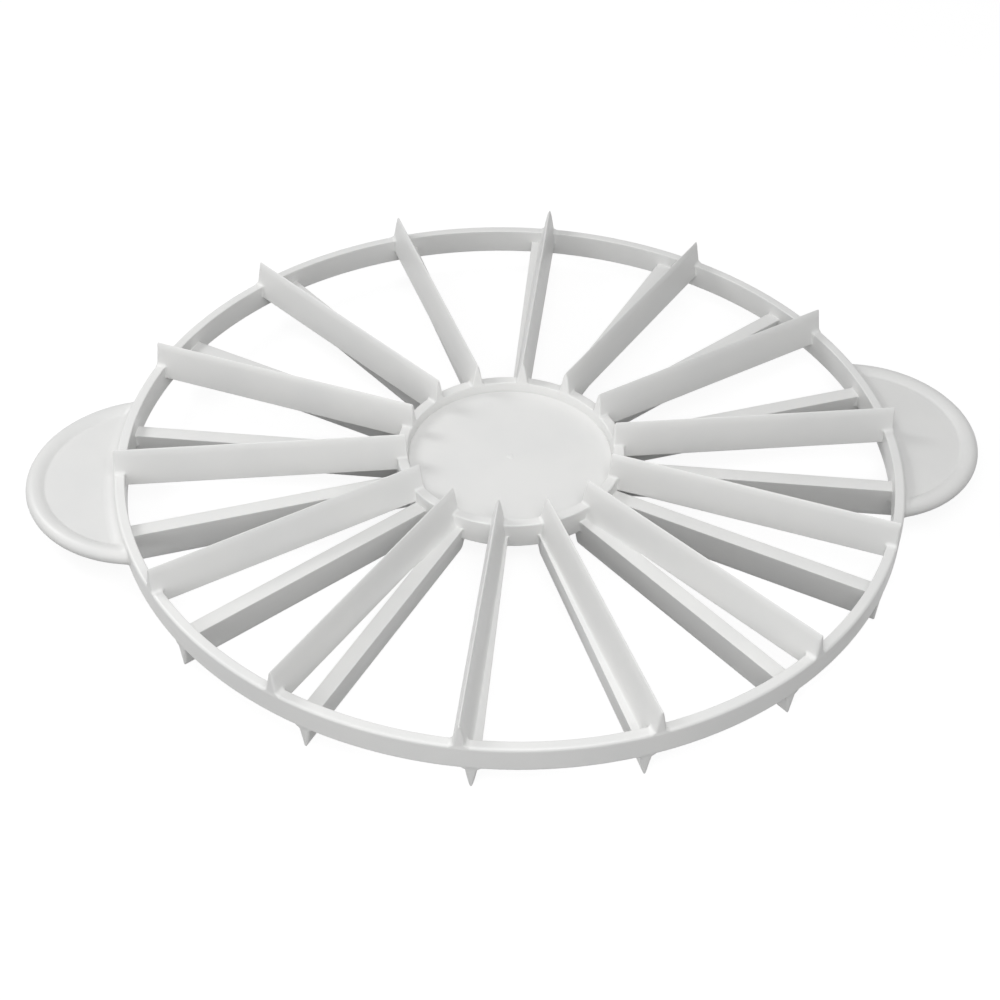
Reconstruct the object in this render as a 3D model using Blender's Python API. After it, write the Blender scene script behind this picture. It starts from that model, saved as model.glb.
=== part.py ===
"""Double-sided cake portion marker: a moulded plastic wheel that is pressed into a cake to mark its slices.

One face marks fourteen portions and the other marks sixteen. Lengths are in metres and +Z is up. The origin is
the centre of the hub on the mid-plane, where the upper and the lower blades meet, and X runs through both handles.
"""

import math

import bmesh
import bpy

MM = 0.001

# Clearance between neighbouring pieces
JOINT_GAP = 0.3 * MM

# Outer ring
RING_DIAMETER = 265.0 * MM
RING_WALL = 3.5 * MM
RING_HEIGHT = 9.3 * MM
RING_OUTER_ROUND = 1.0 * MM
RING_INNER_ROUND = 0.4 * MM

# Hub
HUB_DIAMETER = 77.2 * MM
HUB_WALL = 3.6 * MM
HUB_HEIGHT = 9.3 * MM
HUB_ROUND = 0.5 * MM
HUB_FLOOR = 2.0 * MM
HUB_FLOOR_FILLET = 2.0 * MM

# Blades
UPPER_PORTIONS = 14
LOWER_PORTIONS = 16
BLADE_DEPTH = 13.2 * MM
BLADE_BASE_WIDTH = 5.3 * MM
BLADE_EDGE_WIDTH = 0.6 * MM
BLADE_FLANK_BULGE = 0.1 * MM
BLADE_END_LEAN = 0.4 * MM
BLADE_CORNER = 0.6 * MM

# Handles
HANDLE_RADIUS = 40.0 * MM
HANDLE_REACH = 29.5 * MM
HANDLE_PLATE = 2.6 * MM
HANDLE_RIM_WIDTH = 6.0 * MM
HANDLE_RIM_HEIGHT = 4.8 * MM
HANDLE_ROOT_FILLET = 2.3 * MM

# A fillet ends in this flat edge, so that it never thins to nothing
FILLET_LAND = 0.3 * MM

# How finely round shapes are divided
RING_STEPS = 112
HUB_STEPS = 56
HANDLE_STEPS = 72
ROUND_STEPS = 3
FILLET_STEPS = 4
RIM_STEPS = 9
FLANK_STEPS = 4
SMOOTH_ANGLE = math.radians(30)

# Sizes that follow from the ones above
RING_OUTER = RING_DIAMETER / 2
RING_INNER = RING_OUTER - RING_WALL
HUB_OUTER = HUB_DIAMETER / 2
HUB_INNER = HUB_OUTER - HUB_WALL
RING_CUT = RING_OUTER + JOINT_GAP
HANDLE_CENTRE = RING_OUTER + HANDLE_REACH - HANDLE_RADIUS

PLASTIC_COLOUR = (0.82, 0.82, 0.805, 1.0)
PLASTIC_ROUGHNESS = 0.38


def clear_scene():
    """Start from an empty scene."""
    for existing in list(bpy.data.objects):
        bpy.data.objects.remove(existing, do_unlink=True)


def plastic(name):
    """White satin plastic."""
    material = bpy.data.materials.new(name)
    material.use_nodes = True
    shader = material.node_tree.nodes["Principled BSDF"]
    shader.inputs["Base Color"].default_value = PLASTIC_COLOUR
    shader.inputs["Roughness"].default_value = PLASTIC_ROUGHNESS
    shader.inputs["Metallic"].default_value = 0.0
    return material


def add_object(name, mesh):
    """Link an object that holds this mesh."""
    item = bpy.data.objects.new(name, mesh)
    bpy.context.scene.collection.objects.link(item)
    return item


def finish_mesh(name, bm):
    """Turn a closed bmesh into a mesh with outward faces and smooth round sides."""
    bmesh.ops.recalc_face_normals(bm, faces=bm.faces)
    mesh = bpy.data.meshes.new(name)
    bm.to_mesh(mesh)
    bm.free()
    mesh.shade_smooth()
    mesh.set_sharp_from_angle(angle=SMOOTH_ANGLE)
    return mesh


def arc(centre, radii, start, end, steps):
    """Points on an arc of an ellipse, from one angle to another, with both ends."""
    points = []
    for i in range(steps + 1):
        angle = start + (end - start) * i / steps
        points.append((centre[0] + radii[0] * math.cos(angle), centre[1] + radii[1] * math.sin(angle)))
    return points


def mirrored(upper):
    """Close an upper half profile, running outwards, with its mirror image below the mid-plane."""
    return upper + [(r, -z) for r, z in reversed(upper) if z > 0]


def lathe(profile, steps):
    """Turn a profile of (radius, height) points about Z. A profile that starts at radius 0 has poles."""
    bm = bmesh.new()
    rings = []
    for radius, height in profile:
        if radius == 0:
            rings.append([bm.verts.new((0, 0, height))] * steps)
        else:
            turn = [math.tau * i / steps for i in range(steps)]
            rings.append([bm.verts.new((radius * math.cos(a), radius * math.sin(a), height)) for a in turn])
    for near, far in zip(rings, rings[1:] + rings[:1]):
        for i in range(steps):
            corners = [near[i], near[(i + 1) % steps], far[(i + 1) % steps], far[i]]
            distinct = list(dict.fromkeys(corners))
            if len(distinct) > 2:
                bm.faces.new(distinct)
    return bm


def wall_profile(inner, outer, height, inner_round, outer_round):
    """Section of a round wall, with all four edges rounded."""
    top = height / 2
    quarter = math.pi / 2
    near = arc((inner + inner_round, top - inner_round), (inner_round, inner_round), math.pi, quarter, ROUND_STEPS)
    far = arc((outer - outer_round, top - outer_round), (outer_round, outer_round), quarter, 0, ROUND_STEPS)
    return mirrored(near + far)


def outer_ring():
    profile = wall_profile(RING_INNER, RING_OUTER, RING_HEIGHT, RING_INNER_ROUND, RING_OUTER_ROUND)
    return add_object("outer_ring", finish_mesh("outer_ring", lathe(profile, RING_STEPS)))


def hub_ring():
    profile = wall_profile(HUB_INNER, HUB_OUTER, HUB_HEIGHT, HUB_ROUND, HUB_ROUND)
    return add_object("hub_ring", finish_mesh("hub_ring", lathe(profile, HUB_STEPS)))


def hub_disc():
    """The floor of the hub, with a fillet that climbs the wall on both faces."""
    rim = HUB_INNER - JOINT_GAP
    floor = HUB_FLOOR / 2
    centre = (rim - FILLET_LAND - HUB_FLOOR_FILLET, floor + HUB_FLOOR_FILLET)
    climb = arc(centre, (HUB_FLOOR_FILLET, HUB_FLOOR_FILLET), -math.pi / 2, 0, FILLET_STEPS)
    profile = mirrored([(0, floor)] + climb + [(rim, floor + HUB_FLOOR_FILLET)])
    return add_object("hub_disc", finish_mesh("hub_disc", lathe(profile, HUB_STEPS)))


def cylinder_mesh(name, radius, height, steps):
    return finish_mesh(name, lathe(mirrored([(0, height / 2), (radius, height / 2)]), steps))


def guide(name, mesh):
    """A shape that only cuts or joins others."""
    item = add_object(name, mesh)
    item.hide_render = True
    item.display_type = "WIRE"
    return item


def combine(target, operation, other):
    step = target.modifiers.new(f"{operation.lower()} {other.name}", "BOOLEAN")
    step.operation = operation
    step.solver = "EXACT"
    step.object = other


def handle_blank_mesh():
    """A full disc about the handle's own centre: flat plate inside, rounded rim outside."""
    plate = HANDLE_PLATE / 2
    half_width = HANDLE_RIM_WIDTH / 2
    half_height = HANDLE_RIM_HEIGHT / 2
    crease = math.pi - math.asin(plate / half_height)
    rim = arc((HANDLE_RADIUS - half_width, 0), (half_width, half_height), crease, 0, RIM_STEPS)
    return finish_mesh("handle_blank", lathe(mirrored([(0, plate)] + rim[:-1] + [(HANDLE_RADIUS, 0)]), HANDLE_STEPS))


def handle_root_mesh():
    """The fillet where a handle's plate climbs the outside of the ring, as a full turn about the ring's axis."""
    plate = HANDLE_PLATE / 2
    top = plate + HANDLE_ROOT_FILLET
    foot = RING_CUT + FILLET_LAND + HANDLE_ROOT_FILLET
    climb = arc((foot, top), (HANDLE_ROOT_FILLET, HANDLE_ROOT_FILLET), math.pi, 3 * math.pi / 2, FILLET_STEPS)
    buried = plate / 2
    profile = mirrored([(RING_OUTER - RING_WALL / 2, top)] + climb + [(foot + buried, buried)])
    return finish_mesh("handle_root", lathe(profile, RING_STEPS))


def handles():
    """Both handles: a disc and its root fillet, cut back to the outside of the ring."""
    tall = 2 * (RING_HEIGHT + HANDLE_RIM_HEIGHT)
    ring_cutter = guide("ring_cutter", cylinder_mesh("ring_cutter", RING_CUT, tall, RING_STEPS))
    limit_mesh = cylinder_mesh("root_limit", HANDLE_RADIUS - HANDLE_RIM_WIDTH / 2, tall, HANDLE_STEPS)
    blank_mesh = handle_blank_mesh()
    root_mesh = handle_root_mesh()
    made = []
    for name, side in (("left_handle", -1), ("right_handle", 1)):
        limit = guide(f"{name}_root_limit", limit_mesh)
        limit.location.x = side * HANDLE_CENTRE
        root = guide(f"{name}_root", root_mesh)
        combine(root, "INTERSECT", limit)
        handle = add_object(name, blank_mesh.copy())
        handle.location.x = side * HANDLE_CENTRE
        combine(handle, "UNION", root)
        combine(handle, "DIFFERENCE", ring_cutter)
        made.append(handle)
    return made


def blade_half_width(height):
    """Half the blade's thickness at a height above the mid-plane: a wedge with slightly bulged flanks."""
    share = height / BLADE_DEPTH
    straight = BLADE_BASE_WIDTH + (BLADE_EDGE_WIDTH - BLADE_BASE_WIDTH) * share
    return straight / 2 + 4 * BLADE_FLANK_BULGE * share * (1 - share)


def blade_heights(base, notches):
    """The heights at which the blade's section is drawn: its base, both notches, the flank and the edge."""
    shoulder = BLADE_DEPTH - BLADE_CORNER
    start = max(notches)
    flank = [start + (shoulder - start) * i / FLANK_STEPS for i in range(1, FLANK_STEPS + 1)]
    return sorted({base, *notches, *flank, BLADE_DEPTH})


def end_setback(height, notch):
    """How far an end face has leaned back at this height, with the cut corner at the very edge."""
    lean = BLADE_END_LEAN * (height - notch) / (BLADE_DEPTH - notch)
    return lean + (BLADE_CORNER if height == BLADE_DEPTH else 0)


def blade_mesh():
    """One blade along +X, edge up. It sits on the ring and on the hub's wall, and hangs down between them."""
    base = JOINT_GAP / 2
    hub_notch = HUB_HEIGHT / 2 + JOINT_GAP
    ring_notch = RING_HEIGHT / 2 + JOINT_GAP
    heights = blade_heights(base, (hub_notch, ring_notch))
    floors = (hub_notch, base, base, ring_notch)
    bm = bmesh.new()
    pairs = []
    for station, floor in enumerate(floors):
        column = {}
        for height in heights:
            if height < floor:
                continue
            places = (
                HUB_INNER + end_setback(height, hub_notch),
                HUB_OUTER + JOINT_GAP,
                RING_INNER - JOINT_GAP,
                RING_OUTER - end_setback(height, ring_notch),
            )
            y = blade_half_width(height)
            column[height] = [bm.verts.new((places[station], side * y, height)) for side in (1, -1)]
        pairs.append(column)

    def strip(low, high):
        bm.faces.new([low[0], low[1], high[1], high[0]])

    for near, far, floor in zip(pairs, pairs[1:], (hub_notch, base, ring_notch)):
        shown = [h for h in heights if h >= floor]
        strip(near[floor], far[floor])
        strip(near[BLADE_DEPTH], far[BLADE_DEPTH])
        for low, high in zip(shown, shown[1:]):
            for side in (0, 1):
                bm.faces.new([near[low][side], far[low][side], far[high][side], near[high][side]])
    ends = (
        (pairs[0], hub_notch, BLADE_DEPTH),
        (pairs[1], base, hub_notch),
        (pairs[2], base, ring_notch),
        (pairs[3], ring_notch, BLADE_DEPTH),
    )
    for column, bottom, top in ends:
        shown = [h for h in heights if bottom <= h <= top]
        for low, high in zip(shown, shown[1:]):
            strip(column[low], column[high])
    return finish_mesh("blade", bm)


def blades():
    """The upper blades start at the right handle. The lower ones hang, and miss both handles by half a portion."""
    mesh = blade_mesh()
    made = []
    for i in range(UPPER_PORTIONS):
        blade = add_object(f"upper_blade_{i + 1:02d}", mesh)
        blade.rotation_euler = (0, 0, math.tau * i / UPPER_PORTIONS)
        made.append(blade)
    for i in range(LOWER_PORTIONS):
        blade = add_object(f"lower_blade_{i + 1:02d}", mesh)
        blade.rotation_euler = (math.pi, 0, math.tau * (i + 0.5) / LOWER_PORTIONS)
        made.append(blade)
    return made


def paint(parts, material):
    for part in parts:
        if part.material_slots:
            part.material_slots[0].material = material
        else:
            part.data.materials.append(material)


def build():
    clear_scene()
    ring = outer_ring()
    hub = [hub_ring(), hub_disc()]
    grips = handles()
    wedges = blades()
    paint([ring], plastic("ring_plastic"))
    paint(hub, plastic("hub_plastic"))
    paint(grips, plastic("handle_plastic"))
    paint(wedges, plastic("blade_plastic"))


build()
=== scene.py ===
# %% [markdown]
# # A cake portion marker, dressed for a studio photograph
# The object is one white plastic moulding: an outer ring, a hub with a floor, two half-round
# grips and two sets of wedge-shaped blades. One face marks fourteen slices, the other sixteen.
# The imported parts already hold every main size. This script makes a finer skin for each of them,
# gives the skins a moulded finish, and then sets up the light and the camera.

# %% Load the frame and keep its box
import math

import bmesh
import bpy
import numpy as np
from mathutils import Matrix, Vector


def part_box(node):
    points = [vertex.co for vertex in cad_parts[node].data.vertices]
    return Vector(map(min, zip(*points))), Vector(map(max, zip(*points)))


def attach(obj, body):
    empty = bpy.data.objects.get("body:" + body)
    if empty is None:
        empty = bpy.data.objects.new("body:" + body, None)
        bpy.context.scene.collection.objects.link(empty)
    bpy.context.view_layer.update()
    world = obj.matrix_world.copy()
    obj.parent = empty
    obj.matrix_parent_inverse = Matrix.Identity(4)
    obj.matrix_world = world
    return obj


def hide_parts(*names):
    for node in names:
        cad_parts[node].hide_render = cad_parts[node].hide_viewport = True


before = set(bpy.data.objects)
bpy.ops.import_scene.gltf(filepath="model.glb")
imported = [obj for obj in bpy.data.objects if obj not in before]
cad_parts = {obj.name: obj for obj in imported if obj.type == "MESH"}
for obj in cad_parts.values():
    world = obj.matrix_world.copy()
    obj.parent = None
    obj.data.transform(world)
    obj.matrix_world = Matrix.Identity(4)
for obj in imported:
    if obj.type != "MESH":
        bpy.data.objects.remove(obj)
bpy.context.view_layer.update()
MM = 0.001
print("parts in the frame:", len(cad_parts))

# %% [markdown]
# ## Sizes the skins share
# Every skin lies where its part lies, or the picture and the solid would be two different
# objects. So the big sizes are read from the boxes of the parts. A box can't tell a wall's
# thickness or the round on its edge, so those are written once here, as on a drawing.

# %% Big sizes from the parts, walls and rounds by name
ring_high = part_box("outer_ring")[1]
hub_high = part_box("hub_ring")[1]
first_blade_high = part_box("upper_blade_01")[1]
grip_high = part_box("right_handle")[1]
RING_OUTER = ring_high.y
RING_TOP = ring_high.z
RING_WALL = 3.5 * MM
RING_INNER = RING_OUTER - RING_WALL
RING_OUTER_ROUND = 1.0 * MM
RING_INNER_ROUND = 0.4 * MM
HUB_OUTER = hub_high.x
HUB_TOP = hub_high.z
HUB_WALL = 3.6 * MM
HUB_INNER = HUB_OUTER - HUB_WALL
HUB_ROUND = 0.5 * MM
HUB_DRAFT = 0.4 * MM
BLADE_TIP = first_blade_high.z
UPPER_BLADES = 14
LOWER_BLADES = 16
print("ring radius", round(RING_OUTER / MM, 2), "hub radius", round(HUB_OUTER / MM, 2))
print("blade tip height", round(BLADE_TIP / MM, 2), "grip reach", round(grip_high.x / MM, 2))

# %% [markdown]
# ## From rows of points to a clean skin
# Each piece below is a sheet of points laid out in rows and columns, joined by four-sided
# faces. A sculpted or remeshed skin would blur the crisp edges of a moulding, and sheets of
# quads keep their lines along the piece. One helper joins the points, and a second welds the
# seams, turns the faces outward and keeps the real corners sharp.

# %% Helpers for sheets of quads
def sheet_faces(rows, columns, wrap_rows=False, wrap_columns=False):
    faces = []
    for row in range(rows if wrap_rows else rows - 1):
        next_row = (row + 1) % rows
        for column in range(columns if wrap_columns else columns - 1):
            next_column = (column + 1) % columns
            faces.append((row * columns + column, next_row * columns + column,
                          next_row * columns + next_column, row * columns + next_column))
    return faces


WELD = 0.0002 * MM
SHARP_ANGLE = math.radians(42)


def skin(name, points, faces):
    mesh = bpy.data.meshes.new(name)
    mesh.from_pydata(points.tolist(), [], faces)
    shell = bmesh.new()
    shell.from_mesh(mesh)
    bmesh.ops.remove_doubles(shell, verts=shell.verts, dist=WELD)
    bmesh.ops.dissolve_degenerate(shell, edges=shell.edges, dist=WELD)
    bmesh.ops.recalc_face_normals(shell, faces=shell.faces)
    shell.to_mesh(mesh)
    shell.free()
    mesh.shade_smooth()
    mesh.set_sharp_from_angle(angle=SHARP_ANGLE)
    piece = bpy.data.objects.new(name, mesh)
    bpy.context.scene.collection.objects.link(piece)
    return piece


print("sheet of 3 by 4 points gives", len(sheet_faces(3, 4)), "faces")

# %% [markdown]
# ## The ring and the hub wall
# Both are plain walls turned round the middle, so one cut face is drawn and swept round. The
# ring's outer edges carry a 1 mm round that a thumb can feel, while its inner edges are almost
# sharp. The hub's inner face leans a little, the draft that lets a deep cup leave its mould.
# A bevel modifier could round the edges too, but drawing the arcs keeps both rounds exact. A
# pair of extra points beside each arc keeps the flats flat when the light slides over them.

# %% A rounded wall section
GUARD = 0.15 * MM
RING_ARC_STEPS = 6
HUB_ARC_STEPS = 5


def arc(centre_radius, centre_height, size, start, stop, steps):
    turn = np.radians(np.linspace(start, stop, steps + 1))
    return np.column_stack((centre_radius + size * np.cos(turn), centre_height + size * np.sin(turn)))


def wall_section(inner, outer, top, inner_round, outer_round, steps, draft=0.0):
    right, left = outer - outer_round, inner + inner_round
    corners = [
        arc(right, top - outer_round, outer_round, 0, 90, steps),
        arc(left, top - inner_round, inner_round, 90, 180, steps),
        arc(left, inner_round - top, inner_round, 180, 270, steps),
        arc(right, outer_round - top, outer_round, 270, 360, steps),
    ]
    loop = []
    for corner, following in zip(corners, corners[1:] + corners[:1]):
        run = following[0] - corner[-1]
        step = run / np.linalg.norm(run) * GUARD
        loop.extend(corner)
        loop.append(corner[-1] + step)
        inner_face = following is corners[2]
        if inner_face:
            loop.append((inner - draft, 0.0))
        loop.append(following[0] - step)
    return np.array(loop)


ring_wall = (RING_INNER, RING_OUTER, RING_TOP, RING_INNER_ROUND, RING_OUTER_ROUND)
hub_wall = (HUB_INNER, HUB_OUTER, HUB_TOP, HUB_ROUND, HUB_ROUND)
ring_section = wall_section(*ring_wall, RING_ARC_STEPS)
hub_section = wall_section(*hub_wall, HUB_ARC_STEPS, HUB_DRAFT)
print("points round the ring's section:", len(ring_section))

# %% Sweep the sections round the middle
BLADE_GRID = math.lcm(UPPER_BLADES, LOWER_BLADES)
RING_STEPS = 3 * BLADE_GRID
HUB_STEPS = 2 * BLADE_GRID


def turned(name, section, steps, closed=True):
    turn = np.arange(steps) * math.tau / steps
    radius, height = section[:, 0], section[:, 1]
    points = np.stack((np.outer(np.cos(turn), radius), np.outer(np.sin(turn), radius),
                       np.tile(height, (steps, 1))), axis=-1)
    faces = sheet_faces(steps, len(section), wrap_rows=True, wrap_columns=closed)
    return skin(name, points.reshape(-1, 3), faces)


ring = turned("ring_skin", ring_section, RING_STEPS)
hub = turned("hub_skin", hub_section, HUB_STEPS)
print("ring faces:", len(ring.data.polygons), "hub faces:", len(hub.data.polygons))

# %% [markdown]
# ## The hub floor
# A thin floor closes the hub half way up. On the real part it lies flat in the middle, rises
# a little towards the wall like a saucer, and ends in a fine hollow line at the wall's foot,
# where two pieces of the mould met. The stub where the plastic entered leaves a tiny round
# mark in the centre. A flat disc would show none of this, so a height is worked out for each
# radius and the line is swept round. The underside repeats the top without the mark.

# %% Heights across the hub floor
FLOOR_HALF = 0.85 * MM
SAUCER_START = 28.5 * MM
SAUCER_RISE = 0.5 * MM
FOOT_LINE_DEPTH = 0.35 * MM
FOOT_LINE_WIDTH = 0.14 * MM
GATE_RADIUS = 1.0 * MM
GATE_HEIGHT = 0.14 * MM
GATE_EDGE = 0.06 * MM
FLOOR_TUCK = 0.75 * HUB_DRAFT
floor_edge = HUB_INNER - FLOOR_TUCK


def floor_height(radius):
    out = np.clip((radius - SAUCER_START) / (floor_edge - SAUCER_START), 0, 1)
    from_line = (radius - floor_edge + FOOT_LINE_WIDTH) / FOOT_LINE_WIDTH
    line = FOOT_LINE_DEPTH * np.exp(-from_line ** 2)
    return FLOOR_HALF + SAUCER_RISE * out ** 2 - line


def gate_mark(radius):
    steepness = np.clip((radius - GATE_RADIUS) / GATE_EDGE, -30, 30)
    return GATE_HEIGHT / (1 + np.exp(steepness))


print("floor half thickness in the middle and at the rim, mm:",
      np.round(floor_height(np.array([0, 0.97 * floor_edge])) / MM, 2))

# %% Sweep the floor round
across_gate = np.array([0.0, 0.4, 0.7, 0.85, 0.93, 1.0, 1.07, 1.15, 1.3, 1.7, 3.0]) * MM
across_line = np.array([-1.0, -0.8, -0.62, -0.5, -0.42, -0.36, -0.3, -0.25, -0.2,
                        -0.15, -0.1, -0.04, 0.6]) * MM
floor_radii = np.concatenate((
    across_gate,
    np.linspace(5 * MM, 28 * MM, 9),
    np.linspace(29 * MM, floor_edge - 1.2 * MM, 12),
    floor_edge + across_line,
))
floor_top = np.column_stack((floor_radii, floor_height(floor_radii)))
lower_half = floor_top[::-1] * [1, -1]
upper_half = floor_top + np.column_stack((np.zeros_like(floor_radii), gate_mark(floor_radii)))
hub_floor = turned("hub_floor_skin", np.vstack((upper_half, lower_half)), HUB_STEPS, closed=False)
print("floor points:", len(hub_floor.data.vertices))

# %% [markdown]
# ## The blades
# A blade is a long wedge, 5.3 mm thick at its base, and its last 2.5 mm close in a soft
# pointed arch, so that it marks the icing and wipes clean. Where it runs into the ring or the
# hub the plastic flares in a small fillet, because no moulded corner is truly sharp. Booleans
# with a bevel tend to break on such joints. Here the fillet is part of the wedge's own width:
# the nearer a point is to a wall, the wider the blade grows, and inside the wall, where nobody
# sees it, it grows on, so that the two skins meet without a gap.

# %% The wedge, and how it widens near a wall
BLADE_BASE_HALF = 5.3 * MM / 2
BLADE_EDGE_HALF = 1.0 * MM / 2
BLADE_BULGE = 0.1 * MM
TIP_ARCH = 2.5 * MM
JOINT_FILLET = 0.6 * MM
RING_TOP_FILLET = 1.2 * MM
HUB_TOP_FILLET = 0.8 * MM
TOP_FILLET_REACH = 1.5 * MM
HIDDEN_FLARE = 3


def wedge_half(height):
    share = height / BLADE_TIP
    straight = BLADE_BASE_HALF + (BLADE_EDGE_HALF - BLADE_BASE_HALF) * share
    over = np.clip((height - (BLADE_TIP - TIP_ARCH)) / TIP_ARCH, 0, 1)
    return (straight + 4 * BLADE_BULGE * share * (1 - share)) * np.sqrt(1 - over ** 2)


def wall_distance(radius, height, inner, outer, top, inner_round, outer_round):
    middle = (inner + outer) / 2
    corner = np.where(radius > middle, outer_round, inner_round)
    across = np.abs(radius - middle) - (outer - inner) / 2 + corner
    up = np.abs(height) - top + corner
    outside = np.hypot(np.maximum(across, 0), np.maximum(up, 0))
    return outside + np.minimum(np.maximum(across, up), 0) - corner


def joint_size(height, top, top_fillet):
    near_top = np.clip((height - top) / TOP_FILLET_REACH + 1, 0, 1)
    return JOINT_FILLET + (top_fillet - JOINT_FILLET) * near_top


def fillet_width(distance, size):
    near = np.clip(distance, 0, size)
    rise = size - np.sqrt(np.maximum(size ** 2 - (size - near) ** 2, 0))
    return rise + np.clip(-HIDDEN_FLARE * distance, 0, size)


upper_azimuths = np.arange(UPPER_BLADES) * math.tau / UPPER_BLADES
lower_azimuths = (np.arange(LOWER_BLADES) + 0.5) * math.tau / LOWER_BLADES
print("half width at base and at half height:",
      [round(float(wedge_half(height)) / MM, 2) for height in (0, BLADE_TIP / 2)])

# %% [markdown]
# The blades of the two faces stand back to back on the same plane. Where a blade overhangs
# nothing, its base corner is a little rounded. Where it stands on a blade of the other face,
# its flank runs out in a hollow foot, narrow on the step and tall on the flank. The blades fan
# out, so the step grows along them, and the foot grows with it until the two blades part.

# %% The foot or the rounded corner at a blade's base
BASE_ROUND = 0.28 * MM
FOOT_SHARE = 0.35
FOOT_RISE = 2.0
FOOT_WIDEST = 1.0 * MM
FOOT_TALLEST = 5.5 * MM
SAME_WAY_COSINE = 0.5


def step_width(azimuth, side, radius, facing):
    step = side * radius[:, None] * np.sin(facing - azimuth)[None, :]
    same_way = np.cos(facing - azimuth)[None, :] > SAME_WAY_COSINE
    parting = 2 * (2 * BLADE_BASE_HALF - step)
    return np.where(same_way, np.minimum(step, parting), 0).max(axis=1).clip(0)


def base_shape(step, height):
    wide = np.minimum(FOOT_SHARE * step, FOOT_WIDEST)
    tall = np.minimum(FOOT_RISE * step, FOOT_TALLEST)
    share = np.clip(1 - height / np.maximum(tall, WELD), 0, 1)
    foot = wide * (1 - np.sqrt(1 - share ** 2))
    low = np.clip(BASE_ROUND - height, 0, None)
    corner = BASE_ROUND - np.sqrt(BASE_ROUND ** 2 - low ** 2)
    return foot - corner * np.clip(1 - step / BASE_ROUND, 0, 1)


trial = step_width(upper_azimuths[3], 1, np.array([60 * MM, 120 * MM]), lower_azimuths)
print("step beside the fourth blade at two radii, mm:", np.round(trial / MM, 2))

# %% [markdown]
# The ends of a blade are flush with the ring's outer face and with the hub's inner face, and
# lean back a few tenths towards the tip. Below the rounds of those walls the blade simply ends
# inside them. Above the ring the ends are rounded, as a finger can tell. Rows of points stand
# close together where the shape turns quickly, at the walls, the tip and the ends, and far
# apart along the plain middle.

# %% Rows and levels of a blade's skin
END_LEAN = 0.4 * MM
END_CORNER = 0.6 * MM
RING_END_ROUND = 0.9 * MM
HUB_END_ROUND = 0.55 * MM
OUTER_FOOT = RING_TOP - RING_OUTER_ROUND
INNER_FOOT = HUB_TOP - HUB_ROUND
OUTER_ZONE = RING_OUTER - 2.5 * MM
INNER_ZONE = HUB_INNER + 2.5 * MM
INSIDE_RING = 0.2 * MM
INSIDE_HUB = 1.0 * MM


def end_setback(height, foot):
    lean = END_LEAN * np.clip((height - foot) / (BLADE_TIP - foot), 0, 1)
    over = np.clip(height - (BLADE_TIP - END_CORNER), 0, END_CORNER)
    return lean + END_CORNER - np.sqrt(END_CORNER ** 2 - over ** 2)


def outer_end(height):
    shown = RING_OUTER - end_setback(height, OUTER_FOOT)
    return np.where(height < OUTER_FOOT - WELD, RING_OUTER - INSIDE_RING, shown)


def inner_end(height):
    shown = HUB_INNER + end_setback(height, INNER_FOOT)
    return np.where(height < INNER_FOOT - WELD, HUB_INNER + INSIDE_HUB, shown)


near_ring = np.array([1.3, 1.0, 0.75, 0.5, 0.3, 0.15, 0.06, 0.0, -0.3]) * MM
near_end = np.array([2.5, 1.9, 1.3, 0.9, 0.6, 0.4, 0.3, 0.2, 0.12, 0.06, 0.02, 0.0]) * MM
stations = np.concatenate((
    HUB_INNER + near_end[::-1],
    HUB_OUTER + near_ring[::-1],
    np.linspace(HUB_OUTER + 3 * MM, RING_INNER - 3 * MM, 17),
    RING_INNER - near_ring,
    RING_OUTER - near_end,
))
levels = np.concatenate((
    np.array([0.0, 0.04, 0.1, 0.18, 0.28, 0.42, 0.6, 0.85, 1.15, 1.5, 1.9, 2.4, 3.0]) * MM,
    OUTER_FOOT + np.array([0.0, 0.15, 0.3, 0.5, 0.75]) * MM,
    RING_TOP + np.array([0.0, 0.05, 0.12, 0.22, 0.38, 0.6, 0.9, 1.3]) * MM,
    np.linspace(6.7 * MM, BLADE_TIP - TIP_ARCH, 5)[:-1],
    BLADE_TIP - TIP_ARCH * np.array([1.0, 0.8, 0.6, 0.44, 0.32, 0.22, 0.14, 0.08, 0.04,
                                     0.015, 0.004, 0.0]),
))
print("rows along a blade:", len(stations), "levels:", len(levels))

# %% [markdown]
# All thirty blades share one grid of points and one plain width, so these are worked out once.
# Only the foot differs from blade to blade, because each stands on its neighbours of the other
# face in its own way.

# %% The grid and the width that every blade shares
END_ROUND_START = 0.3 * MM
END_ROUND_RUN = 0.9 * MM
WIDEST_END_ROUND = 0.9

blade_station, blade_height = np.meshgrid(stations, levels, indexing="ij")
outward = (blade_station - OUTER_ZONE) / (RING_OUTER - OUTER_ZONE)
inward = (INNER_ZONE - blade_station) / (INNER_ZONE - HUB_INNER)
stretched_out = OUTER_ZONE + outward * (outer_end(blade_height) - OUTER_ZONE)
stretched_in = INNER_ZONE - inward * (INNER_ZONE - inner_end(blade_height))
blade_radius = np.where(outward > 0, stretched_out, blade_station)
blade_radius = np.where(inward > 0, stretched_in, blade_radius)


def joint_flare(radius, height):
    ring_gap = wall_distance(radius, height, *ring_wall)
    hub_gap = wall_distance(radius, height, *hub_wall)
    flare = fillet_width(ring_gap, joint_size(height, RING_TOP, RING_TOP_FILLET))
    return flare + fillet_width(hub_gap, joint_size(height, HUB_TOP, HUB_TOP_FILLET))


def end_easing(radius, height):
    to_end = np.minimum(outer_end(height) - radius, radius - inner_end(height))
    above = np.clip((height - RING_TOP + END_ROUND_START) / END_ROUND_RUN, 0, 1)
    end_round = np.where(outward > 0, RING_END_ROUND, HUB_END_ROUND)
    turned_edge = np.minimum(end_round * above, WIDEST_END_ROUND * wedge_half(height))
    short = np.clip(turned_edge - to_end, 0, None)
    return turned_edge - np.sqrt(np.maximum(turned_edge ** 2 - short ** 2, 0))


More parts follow.
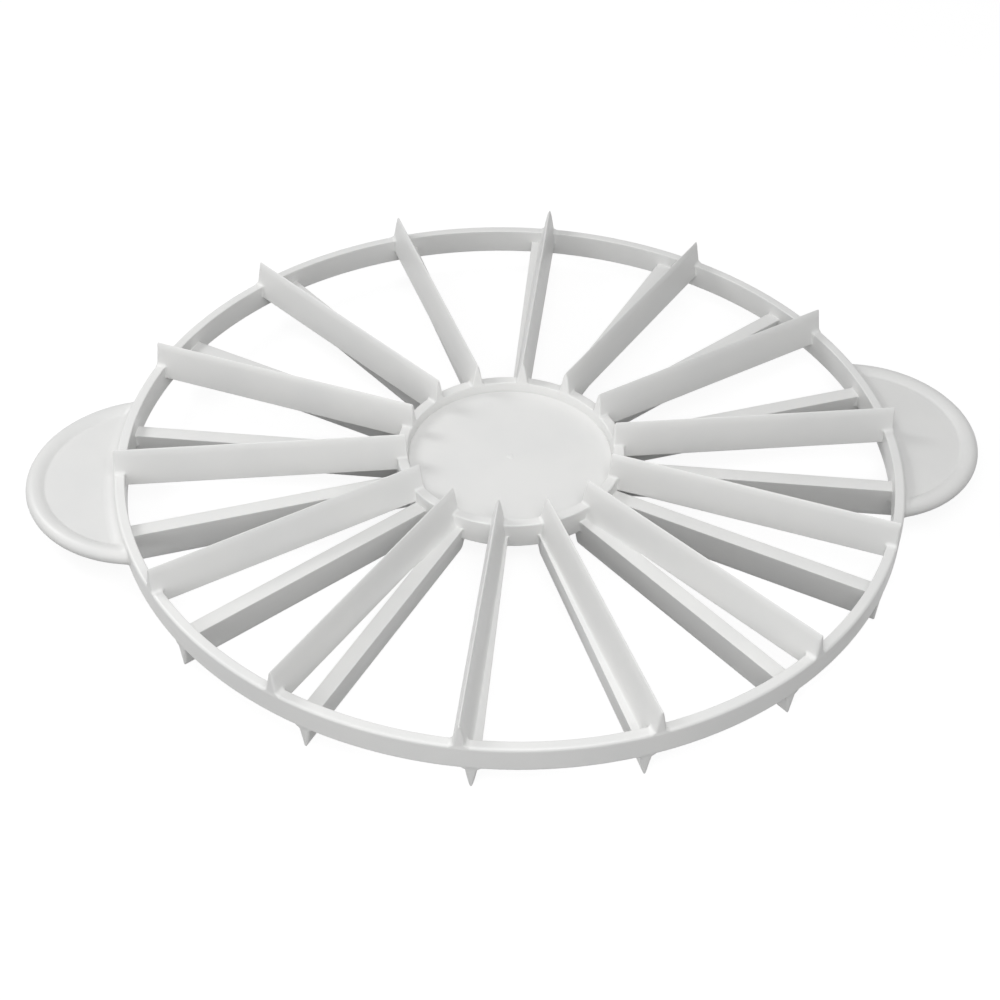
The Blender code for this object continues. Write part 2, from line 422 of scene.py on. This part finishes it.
plain_half = wedge_half(blade_height) + joint_flare(blade_radius, blade_height)
plain_half = plain_half - end_easing(blade_radius, blade_height)
print("widest half of a blade before its foot, mm:", round(float(plain_half.max()) / MM, 2))

# %% Build the blades
def end_caps(count_rows, count_levels):
    caps = []
    for start in (0, (count_rows - 1) * 2 * count_levels):
        for level in range(count_levels - 1):
            mirror = 2 * count_levels - 1 - level
            caps.append((start + level, start + level + 1, start + mirror - 1, start + mirror))
    return caps


def blade_skin(name, azimuth, face, facing):
    sides = []
    for side in (1, -1):
        step = step_width(azimuth, side, stations, facing)[:, None]
        across = side * np.maximum(plain_half + base_shape(step, blade_height), 0)
        along = np.sqrt(blade_radius ** 2 - across ** 2)
        x = along * math.cos(azimuth) - across * math.sin(azimuth)
        y = along * math.sin(azimuth) + across * math.cos(azimuth)
        sides.append(np.stack((x, y, face * blade_height), axis=-1))
    loop = np.concatenate((sides[0][:, ::-1], sides[1]), axis=1)
    faces = sheet_faces(len(stations), 2 * len(levels), wrap_columns=True)
    faces += end_caps(len(stations), len(levels))
    return skin(name, loop.reshape(-1, 3), faces)


blades = {}
for face_name, face, azimuths, facing in (("upper", 1, upper_azimuths, lower_azimuths),
                                          ("lower", -1, lower_azimuths, upper_azimuths)):
    for number, azimuth in enumerate(azimuths, 1):
        node = f"{face_name}_blade_{number:02d}"
        blades[node] = blade_skin(node + "_skin", azimuth, face, facing)
print("blades:", len(blades), "faces on one:", len(blades["upper_blade_01"].data.polygons))

# %% [markdown]
# ## The grips
# Each grip is a flat half disc with a round bead along its rim, thick enough to pull on with
# two fingers, and a generous fillet where it grows out of the ring. It could be a solid with
# fillets added by a modifier, but three soft shapes meet at each corner and bevels fail there.
# A height over a fan of rays is simpler: the plate, the bead and the fillet are three heights,
# and a smooth maximum of them is what a polished mould cavity leaves. The crease between plate
# and bead is tight, and it opens into a soft corner where the bead runs into the fillet.

# %% Heights of the plate, the bead and the fillet
GRIP_RADIUS = 40 * MM
GRIP_CENTRE = grip_high.x - GRIP_RADIUS
GRIP_PLATE = 2.3 * MM / 2
BEAD_HEIGHT = 5.2 * MM / 2
BEAD_OUTER_ROUND = 2.7 * MM
BEAD_INNER_ROUND = 4.6 * MM
BEAD_SLOPE = math.radians(35)
BEAD_CREST = GRIP_RADIUS - BEAD_OUTER_ROUND
ROOT_WIDTH = 4.0 * MM
ROOT_RISE = 2.4 * MM
CREASE = 0.25 * MM
CORNER_BLEND = 1.6 * MM
BLEND_RISE = 0.5 * MM
HIDDEN_LIP = 0.12 * MM
HIDDEN_LIP_RUN = 0.03 * MM


def smooth_maximum(first, second, size):
    overlap = np.clip(size - np.abs(first - second), 0, None) / size
    return np.maximum(first, second) + overlap ** 2 * size / 4


def grip_height(reach, radius):
    inward = np.clip(BEAD_CREST - reach, 0, None)
    turn = np.arcsin(np.clip(inward / BEAD_INNER_ROUND, 0, math.sin(BEAD_SLOPE)))
    bead = BEAD_HEIGHT - BEAD_INNER_ROUND * (1 - np.cos(turn))
    bead = bead - (inward - BEAD_INNER_ROUND * np.sin(turn)) * np.tan(turn)
    outward = np.clip((reach - BEAD_CREST) / BEAD_OUTER_ROUND, 0, 1)
    gap = radius - RING_OUTER
    share = 1 - np.clip(gap / ROOT_WIDTH, 0, 1)
    root = GRIP_PLATE + ROOT_RISE * (1 - np.sqrt(1 - share ** 2))
    blend = CREASE + (CORNER_BLEND - CREASE) * np.clip((root - GRIP_PLATE) / BLEND_RISE, 0, 1)
    root = root + HIDDEN_LIP * np.clip(-gap / HIDDEN_LIP_RUN, 0, 1)
    return smooth_maximum(root, bead, blend) * np.sqrt(1 - outward ** 2)


print("grip centre at", round(GRIP_CENTRE / MM, 1), "mm")
print("plate", round(2 * GRIP_PLATE / MM, 1), "mm thick, bead", round(2 * BEAD_HEIGHT / MM, 1), "mm")

# %% Points along a ray
GRIP_RAYS = 121
HIDDEN_DEPTH = 0.6 * MM
HIDDEN_START = RING_OUTER - HIDDEN_DEPTH
root_turns = np.radians([10, 18, 26, 35, 44, 54, 65, 77, 90])
root_radii = RING_OUTER + np.concatenate((
    [-HIDDEN_DEPTH, -HIDDEN_LIP_RUN, 0.0],
    ROOT_WIDTH * (1 - np.cos(root_turns)),
    [ROOT_WIDTH + GUARD],
))
inner_reaches = BEAD_CREST - np.array([4.5, 4.2, 4.0, 3.85, 3.7, 3.6, 3.5, 3.4, 3.25, 3.05,
                                       2.75, 2.3, 1.8, 1.2, 0.6]) * MM
outer_turns = np.radians([0, 14, 28, 40, 50, 58, 66, 73, 79, 84, 88, 90])
bead_reaches = BEAD_CREST + BEAD_OUTER_ROUND * np.sin(outer_turns)
PLATE_POINTS = 6
print("points on one ray:", len(root_radii) + PLATE_POINTS + len(inner_reaches) + len(bead_reaches))

# %% Build a grip as a fan of rays
def ray_to_radius(turn, radius):
    return np.sqrt(radius ** 2 - (GRIP_CENTRE * math.sin(turn)) ** 2) - GRIP_CENTRE * math.cos(turn)


def last_turn():
    sides = HIDDEN_START ** 2 - GRIP_CENTRE ** 2 - GRIP_RADIUS ** 2
    return math.acos(sides / (2 * GRIP_CENTRE * GRIP_RADIUS))


def grip_skin(name, side):
    ray_rows = []
    for turn in last_turn() * np.sin(np.linspace(-math.pi / 2, math.pi / 2, GRIP_RAYS)):
        start = ray_to_radius(turn, HIDDEN_START)
        root_reaches = ray_to_radius(turn, root_radii)
        plate_reaches = np.linspace(root_reaches[-1], inner_reaches[0], PLATE_POINTS + 2)[1:-1]
        reach = np.concatenate((root_reaches, plate_reaches, inner_reaches, bead_reaches))
        reach = np.sort(np.clip(reach, start, GRIP_RADIUS))
        x = GRIP_CENTRE + reach * math.cos(turn)
        y = reach * math.sin(turn)
        z = grip_height(reach, np.hypot(x, y))
        top = np.column_stack((side * x, y, z))
        ray_rows.append(np.vstack((top, top[::-1] * [1, 1, -1])))
    points = np.array(ray_rows)
    faces = sheet_faces(GRIP_RAYS, points.shape[1], wrap_columns=True)
    return skin(name, points.reshape(-1, 3), faces)


right_grip = grip_skin("right_handle_skin", 1)
left_grip = grip_skin("left_handle_skin", -1)
print("grip faces:", len(right_grip.data.polygons))

# %% [markdown]
# ## The finish
# The real part is moulded in white plastic with a satin skin. Its colour is even, but the
# surface is not: the mould leaves a faint orange peel, the cooling plastic leaves slow waves a
# centimetre long, and the flow leaves lines that run out from the hub. A plain white would
# look like paper. Three noise patterns of three sizes drive the bump, and a fourth, as wide
# soft clouds, shifts the roughness and the tint. The flow lines need coordinates that follow
# the flow: the radius and the angle round the hub. An image texture could hold all this, but
# it would need a layout of the surface, and noise in the object's own space fits as it is.

# %% Helpers for material nodes
NOISE_LOW, NOISE_HIGH = 0.3, 0.7


def math_node(tree, kind, first, second=None):
    node = tree.nodes.new("ShaderNodeMath")
    node.operation = kind
    for socket, value in zip(node.inputs, (first, second)):
        if isinstance(value, (int, float)):
            socket.default_value = value
        elif value is not None:
            tree.links.new(value, socket)
    return node.outputs[0]


def noise_node(tree, vector, scale, detail, roughness=0.5):
    node = tree.nodes.new("ShaderNodeTexNoise")
    node.inputs["Scale"].default_value = scale
    node.inputs["Detail"].default_value = detail
    node.inputs["Roughness"].default_value = roughness
    tree.links.new(vector, node.inputs["Vector"])
    return node.outputs["Fac"]


def flow_coordinates(tree, along, round_hub, up):
    place = tree.nodes.new("ShaderNodeTexCoord").outputs["Object"]
    split = tree.nodes.new("ShaderNodeSeparateXYZ")
    tree.links.new(place, split.inputs[0])
    x, y, z = split.outputs
    radius = math_node(tree, "SQRT", math_node(tree, "ADD", math_node(tree, "MULTIPLY", x, x),
                                               math_node(tree, "MULTIPLY", y, y)))
    angle = math_node(tree, "ARCTAN2", y, x)
    joined = tree.nodes.new("ShaderNodeCombineXYZ")
    tree.links.new(math_node(tree, "MULTIPLY", radius, along), joined.inputs[0])
    tree.links.new(math_node(tree, "MULTIPLY", angle, round_hub), joined.inputs[1])
    tree.links.new(math_node(tree, "MULTIPLY", z, up), joined.inputs[2])
    return place, joined.outputs[0]


def bump_node(tree, height, distance, below=None):
    node = tree.nodes.new("ShaderNodeBump")
    node.inputs["Strength"].default_value = 1.0
    node.inputs["Distance"].default_value = distance
    tree.links.new(height, node.inputs["Height"])
    if below is not None:
        tree.links.new(below, node.inputs["Normal"])
    return node.outputs["Normal"]


def range_node(tree, value, low, high):
    node = tree.nodes.new("ShaderNodeMapRange")
    node.inputs["From Min"].default_value = NOISE_LOW
    node.inputs["From Max"].default_value = NOISE_HIGH
    node.inputs["To Min"].default_value = low
    node.inputs["To Max"].default_value = high
    tree.links.new(value, node.inputs["Value"])
    return node.outputs["Result"]


print("noise from", NOISE_LOW, "to", NOISE_HIGH, "is spread over each wanted range")

# %% [markdown]
# One recipe serves all the pieces. What differs is how close the flow lines lie along the
# radius, round the hub and up the wall, how rough the skin is and how deep its waves are. The
# grips' white is painted a shade greyer, as painted shade for the dimmer light on their plates.

# %% A moulded white plastic
PLASTIC_WHITE = (0.80, 0.80, 0.79)
PLASTIC_SHADE = (0.775, 0.777, 0.77)
PLASTIC_IOR = 1.5
CLOUD_SCALE = 38.0
WAVE_SCALE = 95.0
PEEL_SCALE = 1300.0
PEEL_DEPTH = 0.0022 * MM
STREAK_SHARE = 0.35
STREAK_ROUGHNESS = 0.05
CLOUD_ROUGHNESS = 0.04
TINT_STOPS = (0.35, 0.6)


def white_tint(tree, clouds, tone):
    tint = tree.nodes.new("ShaderNodeValToRGB")
    for stop, position, colour in zip(tint.color_ramp.elements, TINT_STOPS,
                                      (PLASTIC_SHADE, PLASTIC_WHITE)):
        stop.position = position
        stop.color = [tone * part for part in colour] + [1.0]
    tree.links.new(clouds, tint.inputs["Fac"])
    return tint.outputs["Color"]


def moulded_plastic(name, along, round_hub, up, roughness, wave_depth, tone=1.0):
    material = bpy.data.materials.new(name)
    material.use_nodes = True
    tree = material.node_tree
    shader = tree.nodes["Principled BSDF"]
    shader.inputs["IOR"].default_value = PLASTIC_IOR
    place, flow = flow_coordinates(tree, along, round_hub, up)
    clouds = noise_node(tree, place, CLOUD_SCALE, detail=3.0)
    streaks = noise_node(tree, flow, 1.0, detail=3.0, roughness=0.6)
    waves = noise_node(tree, place, WAVE_SCALE, detail=1.0)
    peel = noise_node(tree, place, PEEL_SCALE, detail=1.0)
    tree.links.new(white_tint(tree, clouds, tone), shader.inputs["Base Color"])
    by_streaks = range_node(tree, streaks, -STREAK_ROUGHNESS, STREAK_ROUGHNESS)
    by_clouds = range_node(tree, clouds, roughness - CLOUD_ROUGHNESS, roughness + CLOUD_ROUGHNESS)
    tree.links.new(math_node(tree, "ADD", by_streaks, by_clouds), shader.inputs["Roughness"])
    normal = bump_node(tree, waves, wave_depth)
    normal = bump_node(tree, streaks, STREAK_SHARE * wave_depth, normal)
    normal = bump_node(tree, peel, PEEL_DEPTH, normal)
    tree.links.new(normal, shader.inputs["Normal"])
    return material


finishes = {
    "ring_plastic": moulded_plastic("ring_moulded_white", along=250.0, round_hub=9.0, up=350.0,
                                    roughness=0.38, wave_depth=0.030 * MM),
    "hub_plastic": moulded_plastic("hub_moulded_white", along=40.0, round_hub=26.0, up=200.0,
                                   roughness=0.42, wave_depth=0.030 * MM),
    # The grips' tone of 0.94 is painted shade: a greyer white for the dimmer light on their plates.
    "handle_plastic": moulded_plastic("handle_white_painted_shade", along=60.0, round_hub=30.0, up=150.0,
                                      roughness=0.40, wave_depth=0.040 * MM, tone=0.94),
    "blade_plastic": moulded_plastic("blade_moulded_white", along=28.0, round_hub=12.0, up=330.0,
                                     roughness=0.42, wave_depth=0.050 * MM),
}
print("finishes:", sorted(finishes))

# %% [markdown]
# ## Each skin takes the place of its part
# A skin rides on the one body of this rigid object, hides the plain part that it stands for,
# and takes on its finish.

# %% Hand the skins to the frame
skins = {
    "outer_ring": (ring, "ring_plastic"),
    "hub_ring": (hub, "hub_plastic"),
    "hub_disc": (hub_floor, "hub_plastic"),
    "left_handle": (left_grip, "handle_plastic"),
    "right_handle": (right_grip, "handle_plastic"),
}
for node, piece in blades.items():
    skins[node] = (piece, "blade_plastic")
for node, (piece, finish) in skins.items():
    piece.data.materials.append(finishes[finish])
    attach(piece, "root")
    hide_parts(node)
faces = sum(len(piece.data.polygons) for piece, finish in skins.values())
print("skins:", len(skins), "faces in all:", faces)

# %% [markdown]
# ## Floor and studio
# The part lies on a wide white sheet that runs into a white background, and the lower blades
# touch it with their tips. The sheet glows, but only for the camera and in reflections, so it
# reads as clean white and still keeps the soft shadow under the part. A plain white sheet
# would throw its light back up and wash out the shading below the ring, so what the plastic
# sees of it is a dull grey.

# %% A pale floor under the lower blades
FLOOR_SIZE = 4.0
FLOOR_GLOW = 0.90
FLOOR_COLOUR = (0.16, 0.16, 0.16, 1.0)
FLOOR_ROUGHNESS = 0.9
floor_level = -BLADE_TIP
half = FLOOR_SIZE / 2
floor_mesh = bpy.data.meshes.new("studio_floor")
floor_corners = [(-half, -half, floor_level), (half, -half, floor_level),
                 (half, half, floor_level), (-half, half, floor_level)]
floor_mesh.from_pydata(floor_corners, [], [(0, 1, 2, 3)])
studio_floor = bpy.data.objects.new("studio_floor", floor_mesh)
bpy.context.scene.collection.objects.link(studio_floor)


def seen_directly(tree):
    path = tree.nodes.new("ShaderNodeLightPath")
    seen = math_node(tree, "MAXIMUM", path.outputs["Is Camera Ray"], path.outputs["Is Glossy Ray"])
    return math_node(tree, "MAXIMUM", seen, path.outputs["Is Transmission Ray"])


floor_finish = bpy.data.materials.new("studio_paper")
floor_finish.use_nodes = True
paper = floor_finish.node_tree
paper_shader = paper.nodes["Principled BSDF"]
paper_shader.inputs["Base Color"].default_value = FLOOR_COLOUR
paper_shader.inputs["Roughness"].default_value = FLOOR_ROUGHNESS
paper_shader.inputs["Specular IOR Level"].default_value = 0.0
glow = paper.nodes.new("ShaderNodeEmission")
paper.links.new(math_node(paper, "MULTIPLY", seen_directly(paper), FLOOR_GLOW), glow.inputs["Strength"])
both = paper.nodes.new("ShaderNodeAddShader")
paper.links.new(paper_shader.outputs[0], both.inputs[0])
paper.links.new(glow.outputs[0], both.inputs[1])
paper.links.new(both.outputs[0], paper.nodes["Material Output"].inputs["Surface"])
floor_mesh.materials.append(floor_finish)
print("floor at", round(floor_level / MM, 1), "mm")

# %% [markdown]
# The room gives an even light from all sides, which keeps the shadows on white plastic pale.
# With more of it the forms would flatten, and with less the flanks would turn grey. A picture
# of a real studio could light the room too, but one number is easier to balance with lamps.
# The camera and the reflections see plain white there, so the sheet's far edge hardly shows.

# %% The room's own light
ROOM_LIGHT = 0.43
room = bpy.data.worlds.new("studio_room")
bpy.context.scene.world = room
room.use_nodes = True
room_tree = room.node_tree
background = room_tree.nodes["Background"]
background.inputs["Color"].default_value = (1.0, 1.0, 1.0, 1.0)
lift = math_node(room_tree, "MULTIPLY", seen_directly(room_tree), 1.0 - ROOM_LIGHT)
room_tree.links.new(math_node(room_tree, "ADD", lift, ROOM_LIGHT), background.inputs["Strength"])
print("room light:", ROOM_LIGHT)

# %% [markdown]
# ## The lamps
# Three lamps stand round the table, as in a small product studio. One is high in front and
# lights the faces. One stands low at the front left, where it reaches the upright walls, so
# that the sides that face the right stay darker. The third is small and stands at the left, a
# little behind: it draws the soft streaks that the blades throw on the hub floor. Their places
# were found by lighting the part with one lamp at a time and weighing the results.

# %% Lamps
LAMP_TARGET = Vector((0.0, 0.0, 0.0))


def soft_lamp(name, place, size, power):
    lamp = bpy.data.lights.new(name, "AREA")
    lamp.shape = "SQUARE"
    lamp.size = size
    lamp.energy = power
    lamp_object = bpy.data.objects.new(name, lamp)
    lamp_object.location = place
    lamp_object.rotation_mode = "QUATERNION"
    lamp_object.rotation_quaternion = (LAMP_TARGET - Vector(place)).to_track_quat("-Z", "Y")
    bpy.context.scene.collection.objects.link(lamp_object)
    return lamp_object


lamps = [
    soft_lamp("high_front_lamp", (0.0, -0.35, 0.50), size=0.35, power=1.50),
    soft_lamp("low_front_lamp", (-0.44, -0.67, 0.25), size=0.5, power=1.32),
    soft_lamp("left_lamp", (-0.455, 0.203, 0.418), size=0.2, power=1.05),
]
print("lamps:", [lamp.name for lamp in lamps])

# %% [markdown]
# ## The camera
# The photograph was taken from the front, about forty degrees above the table, and slightly
# turned. The place, the aim, the lens and the small roll were worked out from the ring, the
# hub and the blade tips, whose real places are known.

# %% Camera
CAMERA_PLACE = Vector((-61.98, -474.61, 417.49)) * MM
CAMERA_AIM = Vector((-3.14, 0.41, -19.42)) * MM
CAMERA_LENS = 67.187
CAMERA_SENSOR = 36.0
CAMERA_ROLL = math.radians(1.4158)

camera_data = bpy.data.cameras.new("photo_camera")
camera_data.lens = CAMERA_LENS
camera_data.sensor_width = CAMERA_SENSOR
camera_data.clip_start = 0.01
camera_data.clip_end = 20.0
camera = bpy.data.objects.new("photo_camera", camera_data)
back = (CAMERA_PLACE - CAMERA_AIM).normalized()
level_right = Vector((0, 0, 1)).cross(back).normalized()
level_up = back.cross(level_right)
right = level_right * math.cos(CAMERA_ROLL) + level_up * math.sin(CAMERA_ROLL)
up = level_up * math.cos(CAMERA_ROLL) - level_right * math.sin(CAMERA_ROLL)
turned_axes = Matrix((right, up, back)).transposed()
camera.matrix_world = Matrix.Translation(CAMERA_PLACE) @ turned_axes.to_4x4()
bpy.context.scene.collection.objects.link(camera)
bpy.context.scene.camera = camera
print("camera height above the floor, mm:", round((CAMERA_PLACE.z - floor_level) / MM))

# %% [markdown]
# ## Plain colours
# The picture is shown with plain colours.

# %% Plain colours for the picture
bpy.context.scene.view_settings.view_transform = "Standard"
